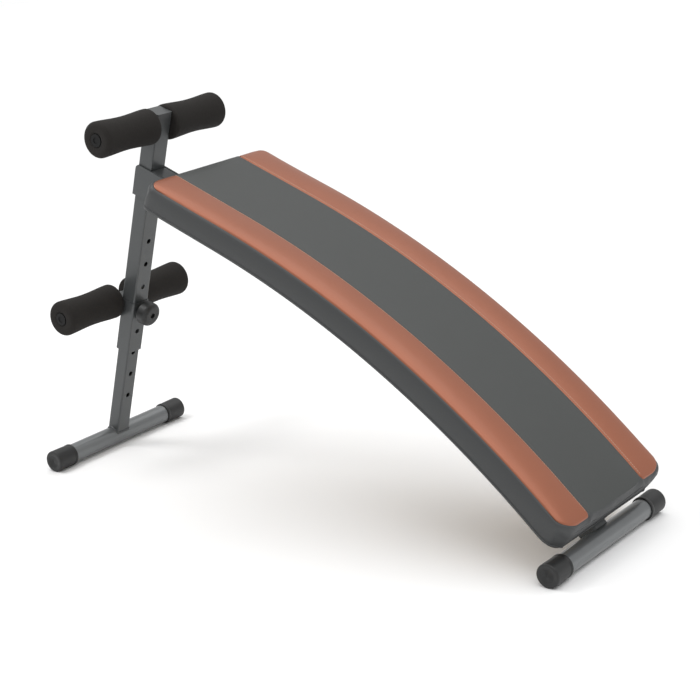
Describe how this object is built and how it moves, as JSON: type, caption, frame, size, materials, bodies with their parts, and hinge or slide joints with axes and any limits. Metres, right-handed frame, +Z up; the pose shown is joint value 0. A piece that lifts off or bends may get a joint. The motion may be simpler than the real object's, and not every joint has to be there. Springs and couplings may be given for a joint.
{
  "type": "decline sit up bench",
  "caption": "Curved padded decline bench on a bent square tube, with an upright carrying two pairs of foam leg rollers, a telescoping leg and a sliding roller carriage locked by a knob.",
  "frame": {"origin": "centre of the bounding box on the floor", "axes": "+X along the bench from the leg and roller end to the head end, +Z up, floor at z = 0; the bench is symmetric about y = 0"},
  "size_m": [1.2254, 0.371, 0.7244],
  "materials": {
    "frame_paint": "satin grey powder coat",
    "black_plastic": "moulded black plastic",
    "roller_foam": "black closed-cell foam",
    "zinc_steel": "zinc plated",
    "cover_charcoal": "charcoal leatherette",
    "cover_copper": "copper leatherette with a soft sheen",
    "cover_side": "dark leatherette",
    "cushion_foam": "upholstery foam",
    "plywood": "plain plywood"
  },
  "bodies": {
    "frame": {"upright_tube": "frame_paint", "upright_top_cap": "frame_paint", "upright_guide_bush": "black_plastic", "head_foot_tube": "frame_paint", "head_foot_cap_near": "black_plastic", "head_foot_cap_far": "black_plastic", "main_frame_tube": "frame_paint", "frame_collar": "frame_paint", "collar_front_plate": "frame_paint", "collar_bolts": "zinc_steel", "collar_washers": "zinc_steel", "collar_nuts": "zinc_steel", "upper_roller_bar": "frame_paint", "upper_plug_near": "black_plastic", "upper_plug_far": "black_plastic", "pad_bracket_leg": "frame_paint", "pad_bracket_middle": "frame_paint", "pad_bracket_head": "frame_paint", "pad_board": "plywood", "pad_foam": "cushion_foam", "cover_centre": "cover_charcoal", "cover_stripe_near": "cover_copper", "cover_stripe_far": "cover_copper", "cover_band": "cover_side", "pad_bolts": "zinc_steel", "pad_washers": "zinc_steel", "pad_tee_nuts": "zinc_steel"},
    "leg": {"leg_foot_tube": "frame_paint", "leg_foot_cap_near": "black_plastic", "leg_foot_cap_far": "black_plastic", "lower_leg": "frame_paint", "leg_top_guide": "black_plastic"},
    "roller_carriage": {"carriage_sleeve": "frame_paint", "carriage_saddle": "frame_paint", "lock_boss": "frame_paint", "lower_roller_bar": "frame_paint", "lower_plug_near": "black_plastic", "lower_plug_far": "black_plastic"},
    "upper_roller_near": {"upper_foam_near": "roller_foam"},
    "upper_roller_far": {"upper_foam_far": "roller_foam"},
    "lower_roller_near": {"lower_foam_near": "roller_foam"},
    "lower_roller_far": {"lower_foam_far": "roller_foam"},
    "lock_screw": {"lock_pin": "zinc_steel"},
    "knob": {"lock_knob": "black_plastic", "knob_insert": "zinc_steel"}
  },
  "joints": [
    {"name": "leg_slide", "type": "slide", "parent": "frame", "child": "leg", "axis": [0.3007, 0, 0.9537], "range_m": [0, 0.1524]},
    {"name": "carriage_slide", "type": "slide", "parent": "frame", "child": "roller_carriage", "axis": [0.3007, 0, 0.9537], "range_m": [-0.0508, 0.1524]},
    {"name": "lock_screw_slide", "type": "slide", "parent": "roller_carriage", "child": "lock_screw", "axis": [-0.9537, 0, 0.3007], "range_m": [0, 0.009]},
    {"name": "knob_turn", "type": "hinge", "parent": "lock_screw", "child": "knob", "pos_m": [-0.4613, 0, 0.29984], "axis": [-0.9537, 0, 0.3007], "range_deg": [0, 2160]},
    {"name": "upper_roller_near_spin", "type": "hinge", "parent": "frame", "child": "upper_roller_near", "pos_m": [-0.38043, 0, 0.68935], "axis": [0, 1, 0], "continuous": true},
    {"name": "upper_roller_far_spin", "type": "hinge", "parent": "frame", "child": "upper_roller_far", "pos_m": [-0.38043, 0, 0.68935], "axis": [0, 1, 0], "continuous": true},
    {"name": "lower_roller_near_spin", "type": "hinge", "parent": "roller_carriage", "child": "lower_roller_near", "pos_m": [-0.53346, 0, 0.32574], "axis": [0, 1, 0], "continuous": true},
    {"name": "lower_roller_far_spin", "type": "hinge", "parent": "roller_carriage", "child": "lower_roller_far", "pos_m": [-0.53346, 0, 0.32574], "axis": [0, 1, 0], "continuous": true}
  ],
  "couplings": [
    {"joint": "lock_screw_slide", "follows": "knob_turn", "m_per_rad": 0.00023873}
  ]
}
